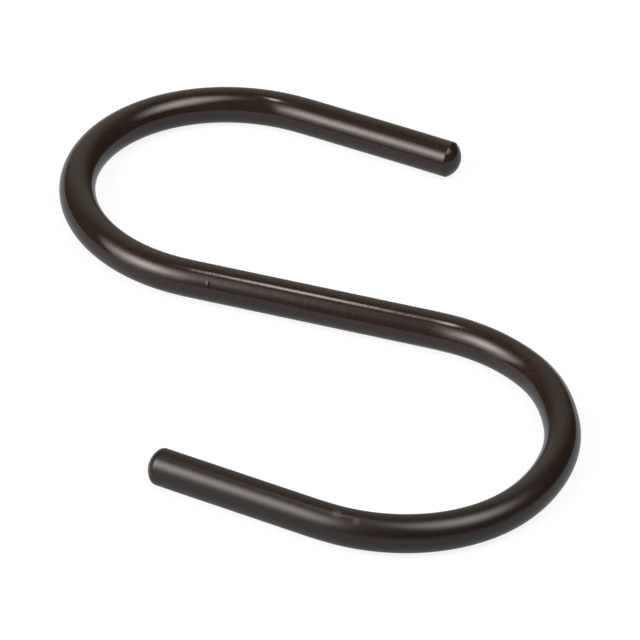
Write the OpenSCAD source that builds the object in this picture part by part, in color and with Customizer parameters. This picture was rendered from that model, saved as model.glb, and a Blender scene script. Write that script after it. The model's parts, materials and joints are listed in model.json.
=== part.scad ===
// S hook: one round steel rod, bent flat into two open hooks at the ends of a straight shank.
// It lies on its side. The shank runs along X with its middle over the origin, and the rod rests
// on the plane Z = 0. Each half is the other turned half a turn about Z.

/* [Rod] */
// Diameter of the round rod, with its coat
rod_d = 6; // [4:0.5:10]
// Height of the domed crown on each free end
crown_h = 1.7; // [1:0.1:1.9]

/* [Shank] */
// Length of the straight shank, from bend to bend
shank_len = 42; // [10:1:120]

/* [Hooks] */
// Width of the space inside each bend: the largest rail that seats in it
seat_d = 46; // [20:1:90]
// Angle that the rod turns through in each bend. Past 180 the arm leans in towards the shank
bend_angle = 189.4; // [150:0.2:204]
// Length of each free arm, from the end of its bend to the tip of its crown
arm_len = 28.5; // [14:0.5:40]

/* [Hidden] */
rod_r = rod_d / 2;
// A free arm is a hair under the rod's radius, 0.012 mm on a 6 mm rod, so that its edge and the edge
// of its bend stay two separate circles where they meet
arm_ease = rod_d / 500;
arm_r = rod_r - arm_ease;
// Radius of the rod's centreline round a bend
bend_r = seat_d / 2 + rod_r;
// The crown is a cap of a sphere, which meets the side of the arm in a crisp rim
crown_r = (pow(arm_r, 2) + pow(crown_h, 2)) / (2 * crown_h);

coat = [0.25, 0.22, 0.21];
$fn = 96;

// A straight stretch along +X. What follows it starts at its far end.
module straight(length, radius) {
    rotate([0, 90, 0])
        cylinder(h = length, r = radius);
    translate([length, 0, 0])
        children();
}

// A bend to the right, seen from above. What follows it starts at its far end, on the new heading.
// The sweep overruns by half the rod's width and is cut off square, in the frame of what follows.
module bend(radius, angle) {
    overrun = rod_r / radius * 180 / PI;
    translate([0, -radius, 0]) {
        difference() {
            rotate([0, 0, 90])
                rotate_extrude(angle = -(angle + overrun))
                    translate([radius, 0])
                        circle(r = rod_r);
            rotate([0, 0, -angle])
                translate([0, radius - rod_d, -rod_d])
                    cube(2 * rod_d);
        }
        rotate([0, 0, -angle])
            translate([0, radius, 0])
                children();
    }
}

// The end of a free arm, along +X from the centre of the crown's sphere: side, rim and crown
module crown() {
    rotate([0, 90, 0])
        rotate_extrude()
            intersection() {
                circle(r = crown_r);
                square([arm_r, 2 * crown_r]);
            }
}

// One hook, from the end of the shank: its bend, its free arm and the crown that ends it
module open_hook() {
    bend(bend_r, bend_angle)
        straight(arm_len - crown_r, arm_r)
            crown();
}

module hook() {
    color(coat)
        translate([0, 0, rod_r]) {
            translate([-shank_len / 2, 0, 0])
                straight(shank_len, rod_r);
            for (turn = [0, 180])
                rotate([0, 0, turn])
                    translate([shank_len / 2, 0, 0])
                        open_hook();
        }
}

hook();
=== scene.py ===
"""S hook lying on a pale floor: the rod with its coat, the floor, the lamps and the camera."""

import json
import math

import bpy
import numpy as np
from mathutils import Matrix, Vector


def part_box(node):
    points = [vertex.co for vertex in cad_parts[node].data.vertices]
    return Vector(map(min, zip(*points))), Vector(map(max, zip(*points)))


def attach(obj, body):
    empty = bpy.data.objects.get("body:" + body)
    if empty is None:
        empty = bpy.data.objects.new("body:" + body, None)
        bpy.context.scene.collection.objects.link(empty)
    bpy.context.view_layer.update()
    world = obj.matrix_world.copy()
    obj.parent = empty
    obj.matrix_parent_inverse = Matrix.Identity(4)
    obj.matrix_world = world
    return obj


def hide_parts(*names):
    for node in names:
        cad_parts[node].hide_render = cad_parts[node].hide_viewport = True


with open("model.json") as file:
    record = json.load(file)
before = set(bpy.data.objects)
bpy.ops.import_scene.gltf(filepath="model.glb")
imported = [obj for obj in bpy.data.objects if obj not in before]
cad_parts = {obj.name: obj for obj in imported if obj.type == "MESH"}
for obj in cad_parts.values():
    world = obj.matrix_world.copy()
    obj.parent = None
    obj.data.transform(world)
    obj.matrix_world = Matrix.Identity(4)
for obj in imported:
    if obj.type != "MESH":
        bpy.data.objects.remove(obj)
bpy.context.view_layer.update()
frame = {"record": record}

# ---------------------------------------------------------------------------------------------
# The rod. One length of round steel bar with both ends pressed to a low dome, then bent cold
# round a former into two open hooks at the ends of a straight shank. Nothing is joined to it.

mounts = {mount["name"]: mount for mount in frame["record"]["mounts"]}
low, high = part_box("hook")
rod_r = (high.z - low.z) / 2
arm_len = mounts["lower_arm"]["dims"]["length_mm"] / 1000
arm_way = mounts["lower_arm"]["axis"]

bend_r = (high.y - rod_r) / 2
half_shank = high.x - bend_r - rod_r
bend_angle = math.atan2(-arm_way[1], arm_way[0]) % math.tau
bend_len = bend_r * bend_angle
half_rod = half_shank + bend_len + arm_len
# The rod takes up and loses its bend over this length, half of it on the straight
bend_ease = 0.008

# The two crowns were pressed in separate strokes. The upper one has a crisp rim. The lower one is
# flatter, with a well rounded rim, and its arm came out a hair longer.
upper_crown_h, upper_rim = 0.0017, 0.00025
lower_crown_h, lower_rim, lower_more = 0.00145, 0.0013, 0.00035

# No hook comes off the former quite true. Here the upper one is bent tighter all round, which is
# made up for early in the lower bend, and its arm has sprung back. The lower bend has a spot that is
# pressed in. Distances run along the rod from the middle of the shank, with the upper hook below 0.
tighter, made_up_from, made_up_to = 0.00063, 0.038, 0.0515
sprung_back, sprung_from, sprung_to = 0.00049, -0.092, -0.134
pressed_in, pressed_at, pressed_reach = 0.00044, 0.0663, 0.0107

# Bending has also squeezed the rod a little thinner, from the inside of each bend to its outside
upper_squeeze, lower_squeeze, squeeze_ease = 0.02, 0.054, 0.15

# A nib stands at the end of the shank: its distance along the rod, its angle round it in degrees,
# how far it reaches along and around, and its height. The mesh is finer for nib_fine to either side.
nib_at, nib_round = -0.01666, 149
nib_along, nib_around, nib_high = 0.0002, 0.0004, 0.000022
nib_fine = 0.0006


def smooth_step(share):
    """0 up to a share of 0, 1 from a share of 1, and 3 share^2 - 2 share^3 between them."""
    share = np.clip(share, 0, 1)
    return share**2 * (3 - 2 * share)


def strayed(s):
    """Distance by which the rod's middle lies to the left of its true line at s.

    It is tighter, less a smooth step while that is made up for, less a bell curve at the pressed
    spot, and less a smooth step as the upper arm springs back.
    """
    made_up = smooth_step((s - made_up_from) / (made_up_to - made_up_from))
    bell = np.exp(-(((s - pressed_at) / pressed_reach) ** 2))
    back = smooth_step((s - sprung_from) / (sprung_to - sprung_from))
    return tighter * (1 - made_up) - pressed_in * bell - sprung_back * back


def running_sum(values, step):
    """Area under the values up to each of them, by trapezoids of the width step, from 0."""
    return np.concatenate([[0], np.cumsum((values[1:] + values[:-1]) / 2) * step])


def centreline(s, fine_steps=6000):
    """Middle of the rod at the distance s along it from the middle of the shank.

    The line starts straight along X. Its curvature rises to 1 / bend_r in a smooth step about
    half_shank, and sinks again bend_len further on. The angle turned, clockwise, is the running sum
    of the curvature, and the place is the running sum of that angle's cosine and sine. The other
    half is the same line turned half a turn about the origin, so a place at -s is the place at s
    with both signs changed. To that comes what the rod has strayed, to the left of its way. The
    sums are taken in fine_steps steps, and read off between them at s.
    """
    fine = np.linspace(0, half_rod + bend_ease, fine_steps + 1)
    rise = smooth_step((fine - half_shank) / bend_ease + 0.5)
    fall = smooth_step((half_shank + bend_len - fine) / bend_ease + 0.5)
    fine_turned = running_sum(rise * fall / bend_r, fine[1])
    out = np.abs(s)
    turned = np.interp(out, fine, fine_turned)
    x = np.interp(out, fine, running_sum(np.cos(fine_turned), fine[1]))
    y = -np.interp(out, fine, running_sum(np.sin(fine_turned), fine[1]))
    left = strayed(s)
    x, y = np.sign(s) * x + left * np.sin(turned), np.sign(s) * y + left * np.cos(turned)
    return np.stack([x, y, np.full_like(s, rod_r)], axis=1)


def squeezed(s):
    """Share that the rod's level half width has lost at s.

    In each bend it rises from nothing, in a smooth step, over the share squeeze_ease. Past the upper
    bend it sinks back in the same way, and the lower arm keeps it.
    """
    share = (np.abs(s) - half_shank) / bend_len
    upper = upper_squeeze * smooth_step(np.minimum(share, 1 - share) / squeeze_ease)
    lower = lower_squeeze * smooth_step(share / squeeze_ease)
    return np.where(s < 0, upper, lower)


def raised(s, a):
    """Height of the nib at the distance s along the rod and the angle a round it: a bell each way."""
    angle = a - math.radians(nib_round)
    around = 2 * rod_r * np.sin(angle / 2)
    return nib_high * np.exp(-(((s - nib_at) / nib_along) ** 2) - (around / nib_around) ** 2)


def crown_profile(crown_h, rim_round, steps):
    """Distances past the end of the arm, and radii, from the side of the rod to the dome's pole.

    The dome is a cap of a sphere, crown_h high. A small arc of radius rim_round touches both the
    side of the rod and the sphere, and the rest of the way follows the sphere down to its pole.
    """
    sphere_r = (rod_r**2 + crown_h**2) / (2 * crown_h)
    back = sphere_r - crown_h
    arc_x = math.sqrt((sphere_r - rim_round) ** 2 - (rod_r - rim_round) ** 2)
    meet = math.atan2(rod_r - rim_round, arc_x)
    arc = np.linspace(math.pi / 2, meet, steps // 2)
    cap = np.linspace(meet, 0, steps)[1:-1]
    past = np.concatenate([arc_x + rim_round * np.cos(arc), sphere_r * np.cos(cap)]) - back
    radius = np.concatenate([rod_r - rim_round + rim_round * np.sin(arc), sphere_r * np.sin(cap)])
    return past, radius


def swept_rod(rings, nib_rings, sides, crown_steps):
    """The rod's surface: a circle carried along the centreline, square to it, closed by two domes.

    The rings stand evenly along the rod, closer at the nib, and then along each crown's profile. A
    point lies at its ring's middle, plus the ring's radius times (level normal * cos(a) * (1 -
    squeezed) + Z * sin(a)), where the radius is raised at the nib. The angles a are the even ones
    less half the sine of their way from the nib's, so they stand twice as close there as on average.
    """
    upper_past, upper_r = crown_profile(upper_crown_h, upper_rim, crown_steps)
    lower_past, lower_r = crown_profile(lower_crown_h, lower_rim, crown_steps)
    lower_end = half_rod + lower_more
    even = np.linspace(-(half_rod + upper_past[0]), lower_end + lower_past[0], rings)
    sides_s = np.unique(np.concatenate([even, nib_at + np.linspace(-nib_fine, nib_fine, nib_rings)]))
    s = np.concatenate([-(half_rod + upper_past[:0:-1]), sides_s, lower_end + lower_past[1:]])
    radius = np.concatenate([upper_r[:0:-1], np.full(len(sides_s), rod_r), lower_r[1:]])
    middle = centreline(s)
    ahead = np.gradient(middle, s, axis=0)
    ahead /= np.linalg.norm(ahead, axis=1)[:, None]
    level = np.cross((0, 0, 1), ahead)
    even_a = np.linspace(0, math.tau, sides, endpoint=False)
    a = even_a - np.sin(even_a - math.radians(nib_round)) / 2
    sideways = level[:, None] * np.cos(a)[None, :, None] * (1 - squeezed(s))[:, None, None]
    upwards = np.array((0, 0, 1)) * np.sin(a)[None, :, None]
    reach = radius[:, None] + raised(s[:, None], a[None, :])
    skin = middle[:, None] + reach[:, :, None] * (sideways + upwards)
    poles = centreline(np.array([-half_rod - upper_crown_h, lower_end + lower_crown_h]))
    return skin, poles


def tube_mesh(name, skin, poles):
    """A closed mesh from a grid of rings: quads between neighbours, and a fan to each pole."""
    rings, sides = skin.shape[:2]
    here = np.arange(rings * sides).reshape(rings, sides)
    beside = np.roll(here, -1, axis=1)
    quads = np.stack([here[:-1], beside[:-1], beside[1:], here[1:]], axis=2).reshape(-1, 4)
    first, last = rings * sides, rings * sides + 1
    start = np.stack([np.full(sides, first), beside[0], here[0]], axis=1)
    end = np.stack([np.full(sides, last), here[-1], beside[-1]], axis=1)
    points = np.concatenate([skin.reshape(-1, 3), poles])
    mesh = bpy.data.meshes.new(name)
    mesh.from_pydata(points.tolist(), [], quads.tolist() + start.tolist() + end.tolist())
    mesh.polygons.foreach_set("use_smooth", np.ones(len(mesh.polygons), bool))
    mesh.update()
    return mesh


skin, poles = swept_rod(rings=860, nib_rings=25, sides=96, crown_steps=20)
rod = bpy.data.objects.new("coated_rod", tube_mesh("coated_rod", skin, poles))
bpy.context.scene.collection.objects.link(rod)
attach(rod, "root")
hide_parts("hook")


# ---------------------------------------------------------------------------------------------
# The coat. A dark brown paint, sprayed on as powder and baked, about a tenth of a millimetre
# thick. It is semi-gloss, with a faint orange peel and three paler spots that are painted glimmers.

class Wire:
    """One socket of a shader. Arithmetic between wires and numbers adds Math nodes."""

    def __init__(self, shader, socket):
        self.shader = shader
        self.socket = socket

    def maths(self, operation, *values):
        return self.shader.node("ShaderNodeMath", {"operation": operation}, *values)

    def __add__(self, other):
        return self.maths("ADD", self, other)

    def __sub__(self, other):
        return self.maths("SUBTRACT", self, other)

    def __mul__(self, other):
        return self.maths("MULTIPLY", self, other)

    def __rsub__(self, other):
        return self.maths("SUBTRACT", other, self)

    __radd__ = __add__
    __rmul__ = __mul__

    def least(self, other):
        """The smaller of the two."""
        return self.maths("MINIMUM", self, other)

    def between(self, start, end):
        """0 below start, 1 above end, and a smooth step between them."""
        settings = {"interpolation_type": "SMOOTHSTEP"}
        return self.shader.node("ShaderNodeMapRange", settings, self, start, end)


class Shader:
    """The nodes of a material, a lamp or the world, added one at a time."""

    def __init__(self, owner):
        owner.use_nodes = True
        self.tree = owner.node_tree
        self.tree.nodes.clear()

    def node(self, kind, settings, *places, out=0, **sockets):
        """Adds a node of this type: its settings first, then its sockets by place or by identifier."""
        node = self.tree.nodes.new(kind)
        for name, value in settings.items():
            setattr(node, name, value)
        inputs = {socket.identifier.replace(" ", "_"): socket for socket in node.inputs}
        filled = [(node.inputs[place], value) for place, value in enumerate(places)]
        for socket, value in filled + [(inputs[key], value) for key, value in sockets.items()]:
            if isinstance(value, Wire):
                self.tree.links.new(value.socket, socket)
            else:
                socket.default_value = value
        return Wire(self, node.outputs[out]) if node.outputs else None


def coat_finish():
    """The coat's material.

    Brown with a dark grain, both of them clouded from one tone to another. Grain and orange peel
    stand up from the surface by their heights, and the peel makes a thin highlight waver. Over the
    lower hook the colour is darkened as painted shade, for the lesser light there, and the gloss is
    duller: shade_and_dull rises to 1 there, and takes the colour painted_shade_share of the way to
    the painted shade black and the roughness up by dull_rough. Each painted glimmer is a place and
    how far its paler colour, a painted highlight, reaches from it.
    """
    cloud_size, grain_size, peel_size = 0.012, 0.0004, 0.0016
    grain_high, peel_high = 0.0000007, 0.000006
    brown_tones = (0.0235, 0.0150, 0.0124, 1), (0.0280, 0.0177, 0.0146, 1)
    dark_tones = (0.0175, 0.0107, 0.0088, 1), (0.0205, 0.0128, 0.0105, 1)
    # The dark tone that the lower hook's colour is pulled towards: painted shade, not a colour of the
    # coat.
    painted_shade_black = (0.0075, 0.005, 0.0044, 1)
    # The paler colour of the three spots below: painted glimmers of light.
    glimmer_colour = (0.048, 0.043, 0.036, 1)
    # Over the lower hook, from and to these Y, the colour is darkened as painted shade by the share
    # below, and the roughness rises.
    shade_and_dull_from, shade_and_dull_to = -0.012, -0.05
    painted_shade_share, smooth_rough, dull_rough = 0.45, 0.12, 0.17
    # Three paler spots, each a place and a reach: painted glimmers, soft highlights put into the
    # colour.
    painted_glimmers = (
        ((0.0196, -0.0529, 0.0058), 0.0011),
        ((0.0228, -0.0535, 0.0056), 0.0008),
        ((-0.0020, 0.0469, 0.0049), 0.0007),
    )
    material = bpy.data.materials.new("brown_coat")
    shader = Shader(material)
    at = shader.node("ShaderNodeTexCoord", {}, out="Object")

    def noise(size, detail=2.0):
        settings = {"noise_dimensions": "3D"}
        return shader.node("ShaderNodeTexNoise", settings, Vector=at, Scale=1 / size, Detail=detail)

    def mixed(share, one, other):
        settings = {"data_type": "RGBA"}
        return shader.node("ShaderNodeMix", settings, share, out=2, A_Color=one, B_Color=other)

    across = shader.node("ShaderNodeSeparateXYZ", {}, at, out=1)
    # Rises to 1 over the lower hook: it darkens the colour there as painted shade and dulls the gloss.
    shade_and_dull = across.between(shade_and_dull_from, shade_and_dull_to)
    cloud = noise(cloud_size).between(0.35, 0.65)
    grain = noise(grain_size, detail=3.0)
    peel = noise(peel_size)
    brown = mixed(cloud, *brown_tones)
    dark = mixed(cloud, *dark_tones)
    grained = mixed(grain.between(0.35, 0.65), dark, brown)
    # The lower hook's colour pulled towards the dark tone: painted shade.
    colour = mixed(shade_and_dull * painted_shade_share, grained, painted_shade_black)
    # Each paler spot is a painted glimmer, a highlight put into the colour.
    for place, reach in painted_glimmers:
        away = shader.node("ShaderNodeVectorMath", {"operation": "DISTANCE"}, at, place, out=1)
        colour = mixed(away.between(reach, reach / 4), colour, glimmer_colour)
    height = peel * peel_high + grain * grain_high
    bumped = shader.node("ShaderNodeBump", {}, Strength=1.0, Distance=1.0, Height=height)
    roughness = smooth_rough + shade_and_dull * dull_rough
    paint = shader.node(
        "ShaderNodeBsdfPrincipled", {}, Base_Color=colour, Roughness=roughness, IOR=1.5, Normal=bumped
    )
    shader.node("ShaderNodeOutputMaterial", {}, Surface=paint)
    return material


rod.data.materials.append(coat_finish())


# ---------------------------------------------------------------------------------------------
# The floor that it lies on: a wide sheet of white paper. It is bright where it is looked at and
# where it is mirrored, and takes the hook's soft shadow.

floor_half = 6.0


def floor_finish():
    """White paper, in three guises by the kind of ray that meets it.

    For the light that it throws back it is plain matt paper. In a mirror or through glass it keeps
    the shadow, and glows a faint blue besides. The eye sees it nearly white by its own glow.
    """
    material = bpy.data.materials.new("white_paper")
    shader = Shader(material)
    looked_at = shader.node("ShaderNodeLightPath", {}, out="Is Camera Ray")
    mirrored = shader.node("ShaderNodeLightPath", {}, out="Is Glossy Ray")
    through_glass = shader.node("ShaderNodeLightPath", {}, out="Is Transmission Ray")
    paper = shader.node("ShaderNodeBsdfDiffuse", {}, Color=(0.57, 0.62, 0.67, 1))
    dim_paper = shader.node("ShaderNodeBsdfDiffuse", {}, Color=(0.2, 0.2, 0.2, 1))
    blue_glow = shader.node("ShaderNodeEmission", {}, Color=(0.92, 1, 1.07, 1), Strength=0.38)
    white_glow = shader.node("ShaderNodeEmission", {}, Color=(1, 1, 1, 1), Strength=0.85)
    in_mirrors = shader.node("ShaderNodeAddShader", {}, dim_paper, blue_glow)
    to_the_eye = shader.node("ShaderNodeAddShader", {}, dim_paper, white_glow)
    indirect = shader.node("ShaderNodeMixShader", {}, mirrored + through_glass, paper, in_mirrors)
    surface = shader.node("ShaderNodeMixShader", {}, looked_at, indirect, to_the_eye)
    shader.node("ShaderNodeOutputMaterial", {}, Surface=surface)
    return material


corners = floor_half * np.array([(-1, -1, 0), (1, -1, 0), (1, 1, 0), (-1, 1, 0)])
sheet = bpy.data.meshes.new("floor")
sheet.from_pydata(corners.tolist(), [], [(0, 1, 2, 3)])
floor = bpy.data.objects.new("floor", sheet)
bpy.context.scene.collection.objects.link(floor)
floor.data.materials.append(floor_finish())


# ---------------------------------------------------------------------------------------------
# The light: a softbox on each side, a second lamp that brightens the left one's middle, a thin strip
# lamp high up behind, and a dim backdrop, all in a dark room. Every lamp stands lamp_away off.

lamp_away = 1.3
warm, straw = (1.0, 0.93, 0.87), (1.0, 0.98, 0.82)


def way(azimuth, elevation):
    """Unit vector at this azimuth, counted from +X towards +Y, and elevation, in degrees."""
    az, el = math.radians(azimuth), math.radians(elevation)
    return Vector((math.cos(az) * math.cos(el), math.sin(az) * math.cos(el), math.sin(el)))


def lamp(name, azimuth, elevation, turn, across, along, brightness, fades, tint):
    """A flat lamp that faces the origin. across and along are the angles that its sides take up.

    brightness is what its middle looks like to the eye, where 1 is white. It fades out in a smooth
    step over a share of the way from each side to the middle: fades holds the share across, and the
    share along. turn spins it about its own line of sight. All angles are in degrees.
    """
    width, height = (2 * lamp_away * math.tan(math.radians(angle) / 2) for angle in (across, along))
    light = bpy.data.lights.new(name, "AREA")
    light.shape = "RECTANGLE"
    light.size, light.size_y = width, height
    light.energy = brightness * math.pi * width * height
    light.color = tint
    shader = Shader(light)
    strength = 1.0
    for axis, fade in enumerate(fades):
        spot = shader.node("ShaderNodeNewGeometry", {}, out="Parametric")
        place = shader.node("ShaderNodeSeparateXYZ", {}, spot, out=axis)
        strength = place.least(1 - place).between(0, fade / 2) * strength
    glow = shader.node("ShaderNodeEmission", {}, Strength=strength)
    shader.node("ShaderNodeOutputLight", {}, Surface=glow)
    holder = bpy.data.objects.new(name, light)
    towards = way(azimuth, elevation)
    facing = towards.to_track_quat("Z", "Y").to_matrix().to_4x4()
    spin = Matrix.Rotation(math.radians(turn), 4, "Z")
    holder.matrix_world = Matrix.Translation(towards * lamp_away) @ facing @ spin
    bpy.context.scene.collection.objects.link(holder)
    return holder


lamp("left_softbox", -137.3, 32.1, 24.7, across=56, along=84, brightness=2.9, fades=(0.3, 1), tint=warm)
lamp("left_middle", -136.9, 36, -40.2, across=52, along=52, brightness=7.0, fades=(1, 1), tint=warm)
lamp("right_softbox", -7.3, 62.5, 77.2, across=64, along=60, brightness=6.9, fades=(1, 1), tint=warm)
lamp("strip_lamp", 159, 77, -161, across=24, along=3.4, brightness=19, fades=(0.9, 0.9), tint=warm)
lamp("backdrop", 110.6, 20.7, 0, across=86, along=98, brightness=0.42, fades=(0.97, 0.97), tint=straw)

# The room's walls are nearly black, and the coat mirrors them so. Only the eye, and what is seen
# through glass, finds white beyond the floor.
room = bpy.data.worlds.new("room")
bpy.context.scene.world = room
air = Shader(room)
looked_at = air.node("ShaderNodeLightPath", {}, out="Is Camera Ray")
through_glass = air.node("ShaderNodeLightPath", {}, out="Is Transmission Ray")
walls = air.node("ShaderNodeBackground", {}, Color=(1, 1, 1, 1), Strength=0.01)
beyond = air.node("ShaderNodeBackground", {}, Color=(1, 1, 1, 1), Strength=1.0)
sky = air.node("ShaderNodeMixShader", {}, looked_at + through_glass, walls, beyond)
air.node("ShaderNodeOutputWorld", {}, Surface=sky)


# ---------------------------------------------------------------------------------------------
# The camera: a long lens, a little under a metre off, that looks down on the hook.

camera_azimuth, camera_elevation, camera_roll = 14.646, 36.048, 3.197
camera_away, camera_lens = 0.85, 303.9
aim = Vector((0.002273, -0.002987, rod_r))

data = bpy.data.cameras.new("camera")
data.sensor_width = 36
data.lens = camera_lens
data.clip_start, data.clip_end = 0.01, 50
camera = bpy.data.objects.new("camera", data)
back = way(camera_azimuth - 90, camera_elevation)
right = way(camera_azimuth, 0)
up = back.cross(right)
roll = math.radians(camera_roll)
side_on = right * math.cos(roll) + up * math.sin(roll)
upright = back.cross(side_on)
place = aim + back * camera_away
turned = Matrix((side_on, upright, back)).transposed().to_4x4()
camera.matrix_world = Matrix.Translation(place) @ turned
bpy.context.scene.collection.objects.link(camera)
bpy.context.scene.camera = camera
bpy.context.scene.view_settings.view_transform = "Standard"
